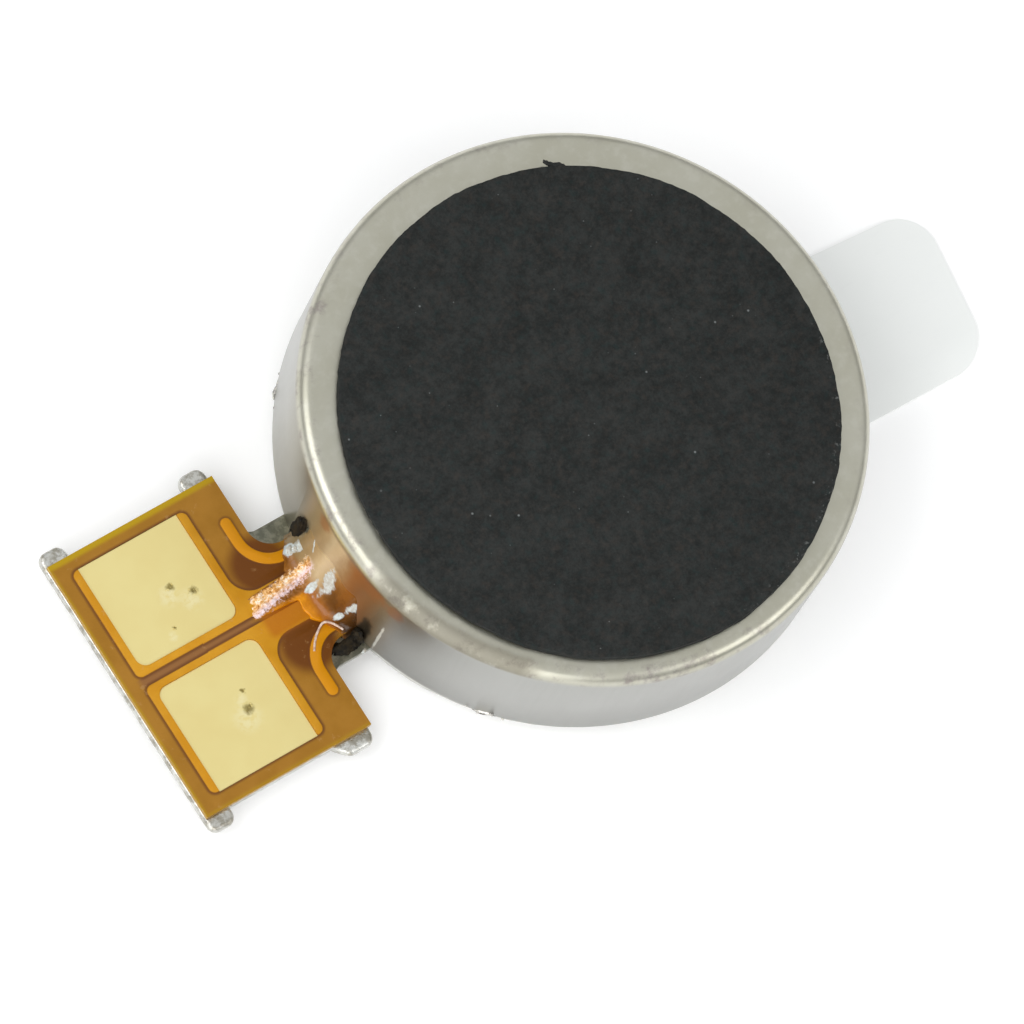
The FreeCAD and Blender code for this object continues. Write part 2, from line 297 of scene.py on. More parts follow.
class Finish:
    """A material. Its x, y and z are the place on the object in millimetres."""

    def __init__(self, name):
        self.material = bpy.data.materials.new(name)
        self.material.use_nodes = True
        self.tree = self.material.node_tree
        self.tree.nodes.clear()
        self.output = self.tree.nodes.new("ShaderNodeOutputMaterial")
        space = self.add("ShaderNodeTexCoord", {}, {}, "Object")
        self.mm = self.vector("SCALE", {0: space, "Scale": 1 / MM})
        split = self.add("ShaderNodeSeparateXYZ", {}, {0: self.mm}).socket.node
        self.x, self.y, self.z = (Value(self, split.outputs[k]) for k in range(3))

    def add(self, kind, settings, inputs, output=0):
        node = self.tree.nodes.new(kind)
        for key, value in settings.items():
            setattr(node, key, value)
        for key, value in inputs.items():
            if isinstance(value, Value):
                self.tree.links.new(value.socket, node.inputs[key])
            else:
                node.inputs[key].default_value = value
        return Value(self, node.outputs[output])

    def vector(self, operation, inputs, output=0):
        return self.add("ShaderNodeVectorMath", {"operation": operation}, inputs, output)

    def ramp(self, factor, stops):
        """Colours in a row, each with its place from 0 to 1."""
        ramp = self.add("ShaderNodeValToRGB", {}, {"Fac": factor})
        elements = ramp.socket.node.color_ramp.elements
        while len(elements) < len(stops):
            elements.new(1)
        for element, (position, colour) in zip(elements, stops):
            element.position = position
            element.color = colour
        return ramp

    def noise(self, scale, detail=2.0, rough=0.5, where=None, output=0):
        """Cloudy numbers from 0 to 1, with blotches about 1/scale mm across."""
        inputs = {"Vector": where or self.mm, "Scale": scale, "Detail": detail}
        return self.add("ShaderNodeTexNoise", {}, {**inputs, "Roughness": rough}, output)

    def cells(self, scale):
        """How far it is to the nearest of many scattered points."""
        return self.add("ShaderNodeTexVoronoi", {}, {"Vector": self.mm, "Scale": scale})

    def stretched(self, x, y, z):
        """Coordinates squeezed along each axis, to draw a pattern out into streaks."""
        return self.vector("MULTIPLY", {0: self.mm, 1: (x, y, z)})

    def distance(self, x, y):
        """Millimetres from an upright line."""
        return self.vector("DISTANCE", {0: self.stretched(1, 1, 0), 1: (x, y, 0)}, 1)

    def mix(self, factor, a, b):
        return self.add("ShaderNodeMix", {"data_type": "RGBA"}, {0: factor, 6: a, 7: b}, 2)

    def coat(self, mask, colour):
        """One more coat over the colour so far, where the mask is 1."""
        self.colour = self.mix(mask, self.colour, colour)

    def bump(self, height, depth, strength=1.0, over=None):
        """A normal that tilts with the height; depth is in millimetres."""
        inputs = {"Height": height, "Distance": depth * MM, "Strength": strength}
        if over:
            inputs["Normal"] = over
        return self.add("ShaderNodeBump", {}, inputs)

    def show(self, **sockets):
        """The main shader. Words in the call are its socket names, with _ for a space."""
        inputs = {key.replace("_", " "): value for key, value in sockets.items()}
        inputs["Base Color"] = self.colour
        shader = self.add("ShaderNodeBsdfPrincipled", {}, inputs)
        self.tree.links.new(shader.socket, self.output.inputs["Surface"])
        return self.material


# %% Simple finishes, and how a piece gets one
def plain(name, pattern, dark, bright, slope, rough, swing=0, depth=0, **more):
    """One pattern sets the colour, the gloss and the relief. A slope sharpens its colour."""
    f = Finish(name)
    mark = pattern(f)
    f.colour = f.mix(mark.step(*slope) if slope else mark, dark, bright)
    more["Roughness"] = rough + swing * mark if swing else rough
    if depth:
        more["Normal"] = f.bump(mark, depth)
    return f.show(**more)


def metal(name, dark, bright, rough, scale, depth=0.003, metallic=0.95):
    """Metal with streaks, or with spots where the scale is the same each way."""
    def pattern(f):
        return f.noise(1, 4, 0.6, f.stretched(*scale))
    colours = rgb(*dark), rgb(*bright)
    return plain(name, pattern, *colours, (0.3, 0.7), rough, 0.15, depth, Metallic=metallic)


def moulded(name, dark, bright, rough, scale=8):
    colours = rgb(*dark), rgb(*bright)
    return plain(name, lambda f: f.noise(scale, 4, 0.6), *colours, (0.3, 0.7), rough, 0.2, 0.004)


def dress(piece, material):
    piece.data.materials.clear()
    piece.data.materials.append(material)
    return piece


def dress_node(node, material):
    """A CAD node keeps its shape and gets a better finish."""
    dress(frame["nodes"][node], material)
    print(f"{node}: keeps its CAD shape")


# %% [markdown]
# ## The studio
#
# Everything is white: a pale floor that takes light from everywhere, a pale room for the metal to
# mirror, and one low lamp to the left that draws the bright line on the rounded edge of the case.
# Two softer lamps fill in. The camera is far away with a long lens, so its lines hardly converge.

# %% Camera
AZIMUTH = -62.77
ELEVATION = 68.15
ROLL = 31.5
DISTANCE = 184.24 * MM
AIM = Vector((-1.7, -0.743, 1.5)) * MM

bpy.ops.object.camera_add()
camera = bpy.context.object
camera.name = "camera"
camera.data.lens = 378.9
camera.data.sensor_width = 36
camera.data.clip_start = 5 * MM
camera.data.clip_end = 5
turn = Euler((math.radians(90 - ELEVATION), 0, math.radians(AZIMUTH))).to_matrix()
facing = turn @ Matrix.Rotation(math.radians(ROLL), 3, "Z")
camera.matrix_world = Matrix.Translation(AIM + facing @ Vector((0, 0, DISTANCE))) @ facing.to_4x4()
scene.camera = camera
scene.view_settings.view_transform = "Standard"
print("camera at mm", [round(v / MM, 1) for v in camera.matrix_world.translation])


# %% Room
BRIGHTNESS = {"From Min": 0.05, "From Max": 0.62, "To Min": 0.3, "To Max": 0.8}

world = bpy.data.worlds.new("pale_room")
world.use_nodes = True
nodes, links = world.node_tree.nodes, world.node_tree.links
direction = nodes.new("ShaderNodeTexCoord")
parts = nodes.new("ShaderNodeSeparateXYZ")
height = nodes.new("ShaderNodeMapRange")
for key, value in BRIGHTNESS.items():
    height.inputs[key].default_value = value
links.new(direction.outputs["Generated"], parts.inputs[0])
links.new(parts.outputs["Z"], height.inputs["Value"])
links.new(height.outputs[0], nodes["Background"].inputs["Strength"])
nodes["Background"].inputs["Color"].default_value = (0.985, 0.995, 1.0, 1)
scene.world = world


# %% Lamps: name, direction, metres away, size, power
LAMPS = [
    ("edge_strip", (-0.78, -0.46, 0.31), 0.25, (0.3, 0.26), 0.45),
    ("soft_key", (-0.75, 0.45, 0.95), 0.35, (0.22, 0.22), 0.34),
    ("soft_fill", (0.55, -0.95, 0.85), 0.35, (0.18, 0.18), 0.18),
]
for name, direction, reach, size, power in LAMPS:
    bpy.ops.object.light_add(type="AREA", location=Vector(direction).normalized() * reach)
    lamp = bpy.context.object
    lamp.name = name
    lamp.data.shape = "RECTANGLE"
    lamp.data.size, lamp.data.size_y = size
    lamp.data.energy = power
    lamp.rotation_euler = Vector(direction).to_track_quat("Z", "Y").to_euler()
    print("lamp", name)


# %% Floor
FLOOR_SIZE = 1.2
FLOOR_GAP = 0.02 * MM
FLOOR_GLOW = 0.14

glow = {"Emission_Color": (1, 1, 1, 1), "Emission_Strength": FLOOR_GLOW}
whites = (0.93, 0.93, 0.93, 1), (0.95, 0.95, 0.95, 1)
bpy.ops.mesh.primitive_plane_add(size=FLOOR_SIZE, location=(0, 0, -FLOOR_GAP))
floor = named("floor")
dress(floor, plain("pale_floor", lambda f: f.noise(0.02, 3), *whites, None, 0.85, **glow))
floor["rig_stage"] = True


# %% [markdown]
# ## The case
#
# The real case is a cup drawn from thin steel sheet and plated with nickel. Drawing leaves a
# generous outer radius, a smaller inner one, and faint upright marks on the wall. A cylinder whose
# floor is inset and extruded up into it gives that cup, and its rounded edges are plain bevels.

# %% The tint round the neck: partly resin stain, partly a painted reflection of the neck and board
TINT_LOW = -1.7
TINT_HIGH = 1.3
TINTS = [
    (-1.7, (132, 120, 100)), (-1.3, (116, 98, 72)), (-0.95, (116, 76, 34)),
    (-0.55, (138, 85, 33)), (-0.3, (150, 116, 74)), (-0.1, (190, 166, 126)),
    (0.12, (200, 180, 142)), (0.32, (176, 152, 112)), (0.55, (148, 126, 88)),
    (0.8, (134, 116, 82)), (1.05, (144, 124, 96)), (1.3, (156, 148, 132)),
]


def neck_tint_and_reflection(f):
    """A colour for each place across the neck, from grey through brown and cream and back."""
    wander = f.noise(2.4, 4, 0.65, f.stretched(1, 1, 0.5))
    across = (f.y + (wander - 0.5) * 0.45 - TINT_LOW) / (TINT_HIGH - TINT_LOW)
    stops = [((y - TINT_LOW) / (TINT_HIGH - TINT_LOW), rgb(*colour)) for y, colour in TINTS]
    return f.ramp(across, stops)


# %% Ragged spots: centre and half lengths in millimetres, then a slant
# Painted shade: two nearly black ovals in the corners where the neck meets the wall.
SHADED_CORNERS = [((0.9, 1.2), (0.17, 0.52), -0.3), ((-1.12, 0.75), (0.15, 0.62))]
# Orange-brown patches under the rim over the neck: a painted reflection of the neck.
MIRRORED_NECK_PATCHES = [((0.5, 2.46), (0.17, 0.24)), ((-0.85, 2.46), (0.42, 0.28)),
          ((-1.45, 2.4), (0.16, 0.24))]


def oval(u, v, centre, half, slant=0.0):
    """1 on the border of an oval, less inside. A slant leans it over as v grows."""
    lean = (u - centre[0] - (v - centre[1]) * slant) / half[0]
    rise = (v - centre[1]) / half[1]
    return (lean ** 2 + rise ** 2) ** 0.5


def nearest(u, v, spots):
    """The same for whichever of several ovals is nearest."""
    best, *others = [oval(u, v, *spot) for spot in spots]
    for other in others:
        best = best.least(other)
    return best


def corner_shade(f):
    """The two corners by the neck, painted nearly black as the shade in those recesses."""
    shake = (f.noise(4, 4, 0.7) - 0.5) * 1.1
    return (nearest(f.y, f.z, SHADED_CORNERS) + shake).step(1.15, 0.55)


# %% The nickel
def drawn_nickel():
    """Satin nickel over drawn steel: cloudy, finely grained, and stained along the rim."""
    f = Finish("drawn_nickel")
    blotch = f.noise(0.9, 4, 0.6)
    mottle = f.noise(4.5, 3, 0.6)
    fine = f.noise(45, 3, 0.6)
    streak = f.noise(1.0, 4, 0.65, f.stretched(9, 9, 0.35))
    top = f.mix(blotch.step(0.35, 0.7), (0.49, 0.478, 0.392, 1), (0.53, 0.52, 0.44, 1))
    top = f.mix(mottle.step(0.45, 0.75) * 0.35, top, (0.62, 0.61, 0.54, 1))
    wall = f.mix(streak, (0.405, 0.405, 0.382, 1), (0.465, 0.465, 0.442, 1))
    # Painted shade: the wall gets darker towards its -y side.
    wall = f.mix(f.y.step(-0.8, -2.4) * 0.17, wall, (0.1, 0.1, 0.095, 1))
    # Painted reflection: near the tail the wall is darkened, and browner on its +y side, where it
    # mirrors the brown tail.
    tail_reflection = abs(f.y).step(3.6, 1.2) * f.x.step(-3.0, -4.4)
    tail_reflection_colour = f.mix(f.y.step(-0.5, 1.2), (0.165, 0.158, 0.135, 1), (0.27, 0.235, 0.145, 1))
    wall = f.mix(tail_reflection * 0.8, wall, tail_reflection_colour)
    f.colour = f.mix(f.z.step(2.6, 2.78), wall, top)
    rim_edge = f.distance(0, 0).step(4.66, 4.8) * f.z.step(2.62, 2.72)
    speck = f.noise(3.4, 5, 0.7).step(0.48, 0.72)
    worn_side = f.x.step(-1.6, -3.4).most(f.y.step(-3.6, -4.6) * f.x.step(1.5, 0.0))
    worn_side = worn_side.most(f.y.step(4.3, 4.9) * 0.5)
    stain = speck * rim_edge * (worn_side * 0.8 + 0.2)
    f.coat(stain * 0.55, rgb(122, 106, 112))
    dull = f.distance(-4.4, -2.35).step(1.8, 1.3) * rim_edge
    dull = dull * f.noise(1.8, 4, 0.65).step(0.25, 0.45)
    f.coat(dull * 0.7, rgb(144, 139, 126))
    front = f.x.step(-3.0, -4.0)
    # Over the neck the wall takes the neck's tint, partly a resin stain and partly a painted
    # reflection of the neck, and is less metallic there.
    tinted = f.y.step(-1.75, -1.25) * f.y.step(1.25, 0.85) * front * f.z.step(2.74, 2.52)
    f.coat(tinted * 0.88, neck_tint_and_reflection(f))
    # Painted shade in the corners by the neck.
    f.coat(tinted * corner_shade(f) * 0.92, rgb(40, 37, 29))
    # Painted reflection of the neck: orange-brown patches just under the rim.
    shake = (f.noise(3, 4, 0.65) - 0.5) * 1.6
    neck_reflection_patches = (nearest(f.y, f.z, MIRRORED_NECK_PATCHES) + shake).step(1.3, 0.55) * front * f.z.step(2.7, 2.58)
    f.coat(neck_reflection_patches * 0.62, rgb(134, 82, 42))
    glint = oval(f.y, f.z, (-1.41, 1.0), (0.028, 0.62)) + (mottle - 0.5) * 1.6
    f.coat(glint.step(1.2, 0.6) * front * 0.8, rgb(226, 224, 214))
    grain = f.bump(fine, 0.0015)
    normal = f.bump(streak, 0.004, 0.5, grain)
    rough = 0.25 + 0.12 * blotch + 0.12 * stain + 0.38 * dull
    metallic = 0.94 - 0.76 * tinted
    return f.show(Metallic=metallic, Roughness=rough, Normal=normal)


# %% The cup
BODY_R = 5.0 * MM
WALL = 0.2 * MM
OUTER_ROUND = 0.25 * MM
INNER_ROUND = 0.1 * MM
FOOT_ROUND = 0.02 * MM
case_low, case_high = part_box("case")
ceiling = case_high.z - WALL


def ring_edge(radius, level):
    """A test for the edges of one circle."""
    def test(edge):
        at = [(math.hypot(v.co.x, v.co.y), v.co.z) for v in edge.verts]
        return all(abs(r - radius) < NEAR and abs(z - level) < NEAR for r, z in at)
    return test


case = add_round("case_shell", BODY_R, case_low.z, case_high.z)
pick(case, lambda face: face.normal.z < -0.9)
bpy.ops.mesh.inset(thickness=WALL, use_even_offset=True)
bpy.ops.mesh.extrude_region_move(TRANSFORM_OT_translate={"value": (0, 0, ceiling - case_low.z)})
leave(case)
print("outer rim edges", round_edge(case, ring_edge(BODY_R, case_high.z), OUTER_ROUND, 10))
print("inner corner edges", round_edge(case, ring_edge(BODY_R - WALL, ceiling), INNER_ROUND, 3))
round_edge(case, ring_edge(BODY_R, case_low.z), FOOT_ROUND, 2)

# %% The notch
NOTCH_HALF = 1.1 * MM
NOTCH_HEIGHT = 0.32 * MM

low = (-6 * MM, -NOTCH_HALF, case_low.z - MM)
high = (-4 * MM, NOTCH_HALF, case_low.z + NOTCH_HEIGHT)
combine(case, add_box("notch", low, high), "DIFFERENCE")
smooth(case)
dress(case, drawn_nickel())
place(case, "stator", "nickel_plated_steel", "case")


# %% [markdown]
# ## The bracket
#
# The bracket is one stamping: the floor disc, the neck, the tail plate with its four ears, and the
# collar that holds the shaft. The CAD node has its exact outline, so a copy of that is the start.
# A small bevel all round lets its punched edges catch the light as real ones do.

# %% Bright steel
def stamped_steel():
    """Rolled stainless sheet, with long fine lines from the rolls and a few dull patches."""
    f = Finish("stamped_steel")
    rolled = f.noise(1.0, 4, 0.6, f.stretched(1.2, 30, 30))
    patch = f.noise(1.6, 3, 0.6)
    f.colour = f.mix(patch.step(0.3, 0.75), (0.7, 0.7, 0.66, 1), (0.56, 0.55, 0.51, 1))
    pits = f.cells(7).step(0.22, 0.05) * patch.step(0.5, 0.65)
    f.coat(pits * 0.6, (0.22, 0.2, 0.18, 1))
    torn = f.noise(5.5, 4, 0.7)
    ears = abs(f.y).step(2.5, 2.6) * f.x.step(-5.2, -5.4)
    end_edge = f.x.step(-8.9, -8.94)
    f.coat(ears.most(end_edge) * torn.step(0.44, 0.62) * 0.6, rgb(124, 114, 90))
    neck = abs(f.y).step(1.55, 1.4) * f.x.step(-5.62, -5.5)
    neck = neck * f.x.step(-4.0, -4.4) * f.z.step(0.22, 0.36)
    sooty = f.mix(torn.step(0.4, 0.6), rgb(96, 98, 82), rgb(138, 138, 122))
    f.coat(neck * 0.88, sooty)
    rough = 0.16 + 0.16 * patch + 0.12 * rolled
    normal = f.bump(torn * ears, 0.05, 0.6, f.bump(rolled, 0.003))
    return f.show(Metallic=0.95, Roughness=rough, Normal=normal)


# %% The stamping
PLATE_SIDE = 2.57 * MM
EAR_ROUND = 0.08 * MM
PUNCHED = 0.045 * MM
SHARP = 1.0  # radians

bracket = copy_of("bracket", "bracket_plate")


def on_an_ear(edge):
    """Only the ears reach past the side of the plate."""
    outer = all(abs(v.co.y) > PLATE_SIDE for v in edge.verts)
    return outer and not upright(edge) and edge.calc_face_angle(0) > SHARP


print("ear edges", round_edge(bracket, on_an_ear, EAR_ROUND, 5))
soften(bracket, PUNCHED, 3, 50)
smooth(bracket, 30)
dress(bracket, stamped_steel())
place(bracket, "stator", "bracket_steel", "bracket")


# %% [markdown]
# ## Weld beads
#
# A laser pulse melts the case and the bracket together at four places on their seam. Each pulse
# leaves an uneven bead, with a few finer drops thrown to both sides of it. All of them are balls,
# flattened and roughened, and each has its own seed, so no two are alike.

# %% Lumps: a ball, stretched, roughened and turned
def lump(name, centre, size, seed, rough=0.15, turn=0.0, steps=3):
    """An uneven drop. Sizes are half lengths in millimetres, and rough is a share of them."""
    deselect()
    bpy.ops.mesh.primitive_ico_sphere_add(subdivisions=steps, radius=1)
    piece = bpy.context.object
    for vertex in piece.data.vertices:
        spot = vertex.co + Vector((seed * 5.2, seed * 2.2, 0))
        shift = noise.noise(spot * 1.4) + 0.4 * noise.noise(spot * 4.1)
        vertex.co *= 1 + rough * 2 * shift
    piece.scale = Vector(size) * MM
    piece.rotation_euler = (0, 0, turn)
    piece.location = Vector(centre) * MM
    named(name)
    return smooth(piece, 60)


# %% Beads and spatter round the seam
WELD_ANGLES = (42, 138, 222, 318)
BEAD = (0.1, 0.2, 0.115)
SEAM_R = 4.93
SPATTER_R = 4.985
SPATTER_EACH = 4
SPATTER_GAP = 0.045
seam = case_low.z / MM


def on_circle(radius, angle, level):
    return (radius * math.cos(angle), radius * math.sin(angle), level)


drops = []
for k, angle in enumerate(WELD_ANGLES):
    a = math.radians(angle)
    drops.append(lump(f"bead_{k}", on_circle(SEAM_R, a, seam), BEAD, k, 0.22, a))
    for s in range(SPATTER_EACH):
        b = a + (s - 1.5) * SPATTER_GAP
        size = 0.028 + 0.01 * ((s * 7 + k * 3) % 3)
        where = on_circle(SPATTER_R, b, seam + 0.05 - 0.11 * ((s + k) % 2))
        drops.append(lump(f"spatter_{k}_{s}", where, (size, size, size), k * 5 + s, 0.18, steps=2))
beads = join(drops, "weld_beads")
remelted = (0.16, 0.15, 0.14, 1), (0.78, 0.76, 0.7, 1)
dress(beads, plain("weld_metal", lambda f: f.noise(9, 4, 0.7), *remelted, (0.4, 0.6),
                   0.18, 0.3, 0.02, Metallic=0.9))
place(beads, "stator", "weld_metal", "weld_spots")


# %% [markdown]
# ## The foam pad
#
# A disc of fine black foam is stuck on the case, to be squeezed by the phone's cover. It is die
# cut, so its edge is a little ragged and one torn flake hangs on it. Its skin is matt, with a fine
# grain and a few pale specks of dust. A slow noise and a quick one move the rim in and out. The
# disc was also pulled out of round by a few hundredths of a millimetre, widest near the flake.

# %% Where the pad is
foam_low, foam_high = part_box("foam_pad")
foam_mid = (foam_low + foam_high) / 2
foam_r = (foam_high.x - foam_low.x) / 2
print("foam radius mm", round(foam_r / MM, 2))


# %% Foam skin
def foam_skin():
    f = Finish("foam_skin")
    grain = f.noise(24, 3, 0.7)
    mid = f.noise(6.5, 5, 0.75)
    soft = f.noise(1.6, 3, 0.5)
    pores = f.cells(14)
    shade = (mid * 0.42 + grain * 0.3 + soft * 0.28).step(0.36, 0.64)
    f.colour = f.mix(shade, (0.0095, 0.011, 0.0104, 1), (0.027, 0.0288, 0.0275, 1))
    warm = f.noise(7.5, 3, 0.6)
    f.coat(warm.step(0.5, 0.72) * 0.32, (0.042, 0.032, 0.026, 1))
    f.coat(warm.step(0.46, 0.28) * 0.3, (0.01, 0.028, 0.028, 1))
    dust = f.cells(2.1).step(0.06, 0.02) * f.noise(0.8, 2).step(0.5, 0.6)
    small_dust = f.cells(5.0).step(0.085, 0.02) * f.noise(1.7, 2).step(0.52, 0.64)
    from_middle = f.distance(foam_mid.x / MM, foam_mid.y / MM)
    flecks = f.noise(14, 3, 0.7).step(0.58, 0.68) * from_middle.step(4.2, 4.36)
    flecks = flecks * (f.x * 0.7 - f.y * 0.7).step(3.0, 3.9)
    f.coat(dust.most(small_dust * 0.7) * 0.6, (0.25, 0.27, 0.27, 1))
    f.coat(flecks * 0.5, (0.2, 0.21, 0.2, 1))
    normal = f.bump(grain, 0.008, 0.8, f.bump(pores, 0.006, 0.6))
    return f.show(Roughness=0.92, Normal=normal, Specular_IOR_Level=0.25)


# %% The disc and its ragged rim: each wave is how far it moves the rim, and how quick it is
SPARE = 0.02 * MM
LIP = 0.06 * MM
WAVES = ((0.022, 6), (0.014, 38))
PULLED = math.radians(65)
STRETCH = 0.03
SHIFT = 0.012

foam = add_round("foam_disc", foam_r - SPARE, foam_low.z, foam_high.z, foam_mid.xy, corners=360)
pick(foam, lambda face: abs(face.normal.z) > 0.9)
bpy.ops.mesh.inset(thickness=LIP)
leave(foam)
pick(foam, upright, "EDGE")
bpy.ops.mesh.subdivide(number_cuts=2)
leave(foam)
for vertex in foam.data.vertices:
    out = vertex.co - Vector((foam_mid.x, foam_mid.y, vertex.co.z))
    if out.length > foam_r - 0.05 * MM:
        a = math.atan2(out.y, out.x)
        around = Vector((math.cos(a), math.sin(a), vertex.co.z / MM))
        ragged = sum(far * noise.noise(around * quick) for far, quick in WAVES)
        ragged += STRETCH * math.cos(2 * (a - PULLED)) + SHIFT * math.cos(a - PULLED)
        vertex.co += out.normalized() * ragged * MM
        if vertex.co.z > foam_high.z - NEAR:
            vertex.co.z -= (0.018 + 0.01 * noise.noise(around * 20)) * MM
print("foam rim corners", sum(v.co.z < foam_high.z for v in foam.data.vertices))

# %% The torn flake on its edge: centre, half lengths, seed, turn in degrees
FLAKE = {
    "a": ((1.84, 3.86, 3.05), (0.13, 0.055, 0.03), 3, -22),
    "b": ((1.73, 3.97, 3.06), (0.075, 0.04, 0.024), 5, 118),
    "c": ((1.77, 3.93, 3.05), (0.06, 0.04, 0.03), 8, 150),
    "d": ((1.88, 3.8, 3.04), (0.12, 0.075, 0.04), 2, -20),
}
scraps = [lump("torn_" + key, centre, size, seed, 0.2, math.radians(angle))
          for key, (centre, size, seed, angle) in FLAKE.items()]
foam = join([foam, *scraps], "foam_disc")
smooth(foam, 50)
dress(foam, foam_skin())
place(foam, "stator", "foam", "foam_pad")

# %% The film that holds it
blacks = (0.012, 0.012, 0.012, 1), (0.03, 0.03, 0.03, 1)
dress_node("foam_adhesive", plain("black_film", lambda f: f.noise(6, 3), *blacks, None, 0.25, 0.2))


# %% [markdown]
# ## The release liner and the tape it covers
#
# Under the motor is a pad of double-sided tape, covered by a liner of white translucent film with
# a tab to pull. The tab's long sides spread a little and its end is cut at a slant, so a plain box
# is added and its corners are moved. A boolean makes the disc and the tab one piece.

# %% Liner film
def liner_film():
    """Milky film: it scatters a little light and has faint rub marks."""
    f = Finish("liner_film")
    cloud = f.noise(0.8, 3, 0.5)
    rub = f.noise(2.0, 3, 0.6, f.stretched(1, 7, 1)).step(0.55, 0.8)
    f.colour = f.mix(cloud, (0.865, 0.885, 0.868, 1), (0.895, 0.91, 0.893, 1))
    f.coat(rub * 0.3, (0.84, 0.85, 0.84, 1))
    return f.show(Roughness=0.3 + 0.2 * rub, Normal=f.bump(cloud, 0.01, 0.5))


# %% The liner: the tab's corners are by side, 1 or -1 along y
DISC_R = 4.75 * MM
TAB_FAR = {1: (8.27, 0.71), -1: (7.88, -2.27)}
TAB_NEAR = {1: (3.0, 1.09), -1: (3.0, -2.18)}
TAB_SPLIT = 5 * MM
TAB_ROUND = 0.75 * MM
CUT_EDGE = 0.012 * MM
liner_low, liner_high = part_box("release_liner")

tab = add_box("tab", (3.0 * MM, -2 * MM, liner_low.z), (8.0 * MM, 1 * MM, liner_high.z))
for vertex in tab.data.vertices:
    side = 1 if vertex.co.y > 0 else -1
    corner = TAB_FAR[side] if vertex.co.x > TAB_SPLIT else TAB_NEAR[side]
    vertex.co.x, vertex.co.y = corner[0] * MM, corner[1] * MM
round_edge(tab, lambda edge: upright(edge) and edge.verts[0].co.x > TAB_SPLIT, TAB_ROUND, 18)
liner = add_round("liner", DISC_R, liner_low.z, liner_high.z)
combine(liner, tab, "UNION")
soften(liner, CUT_EDGE, 2, 60)
smooth(liner, 40)
dress(liner, liner_film())
place(liner, "liner", "liner_film", "release_liner")

# %% The tape
creams = (0.62, 0.61, 0.56, 1), (0.8, 0.79, 0.75, 1)
dress_node("adhesive_pad", plain("tape_foam", lambda f: f.cells(18), *creams, None, 0.7, 0, 0.01))


# %% [markdown]
# ## The flexible circuit
#
# The contacts sit on a flexible circuit: a polyimide film, copper foil, and an amber cover film
# with a window over each contact. The cover film follows the copper below, so the copper shows as
# orange islands that stand a little proud of the brown film. Copies of the copper, raised through
# a copy of the CAD cover film, are joined to it, and its windows are cut again.

# %% Sizes of the copper in millimetres, as the CAD nodes have them
PAD_CORNER = 0.12
FLARE = 0.42
PAD_LOW = Vector((-8.64, 0.09))
PAD_HIGH = Vector((-6.33, 2.265))
TRACE = (0.08, 0.44)
GUARD_BEND = (-5.22, 1.34)
GUARD_BEND_R = 0.6
GUARD_HALF = 0.1
GUARD_TOP = 1.71
cover_low, cover_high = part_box("flex_coverlay")
print("cover film top at mm", round(cover_high.z / MM, 3))


# %% How far a point is from the copper
def box_distance(x, y, low, high, corner=0.0):
    """Millimetres outside a box with rounded corners, and negative inside it."""
    mid = ((low[0] + high[0]) / 2, (low[1] + high[1]) / 2)
    half = ((high[0] - low[0]) / 2 - corner, (high[1] - low[1]) / 2 - corner)
    over_x = abs(x - mid[0]) - half[0]
    over_y = abs(y - mid[1]) - half[1]
    outside = (over_x.most(0) ** 2 + over_y.most(0) ** 2) ** 0.5
    return outside + over_x.most(over_y).least(0) - corner


def circle_distance(x, y, centre):
    return ((x - centre[0]) ** 2 + (y - centre[1]) ** 2) ** 0.5


def copper_distance(f):
    """From the two pads, their traces and the rounded corners where they meet."""
    y = abs(f.y)
    pad = box_distance(f.x, y, PAD_LOW, PAD_HIGH, PAD_CORNER)
    trace = box_distance(f.x, y, (PAD_HIGH.x - 1, TRACE[0]), (-1, TRACE[1]))
    corner = (PAD_HIGH.x, TRACE[1])
    centre = (corner[0] + FLARE, corner[1] + FLARE)
    square = box_distance(f.x, y, (corner[0] - 0.1, corner[1] - 0.1), centre)
    flare = square.most(FLARE - circle_distance(f.x, y, centre))
    return pad.least(trace).least(flare)


def guard_distance(f):
    """From the copper strips that stop a tear at the corners of the neck."""
    y = abs(f.y)
    leg_x = GUARD_BEND[0] - GUARD_BEND_R
    foot = (leg_x - GUARD_HALF, GUARD_BEND[1] - GUARD_HALF)
    leg = box_distance(f.x, y, foot, (leg_x + GUARD_HALF, GUARD_TOP + GUARD_HALF), GUARD_HALF)
    bend = abs(circle_distance(f.x, y, GUARD_BEND) - GUARD_BEND_R) - GUARD_HALF
    bend = bend.most(f.x - GUARD_BEND[0]).most(y - GUARD_BEND[1])
    tip = circle_distance(f.x, y, (GUARD_BEND[0], GUARD_BEND[1] - GUARD_BEND_R)) - GUARD_HALF
    return leg.least(bend).least(tip)
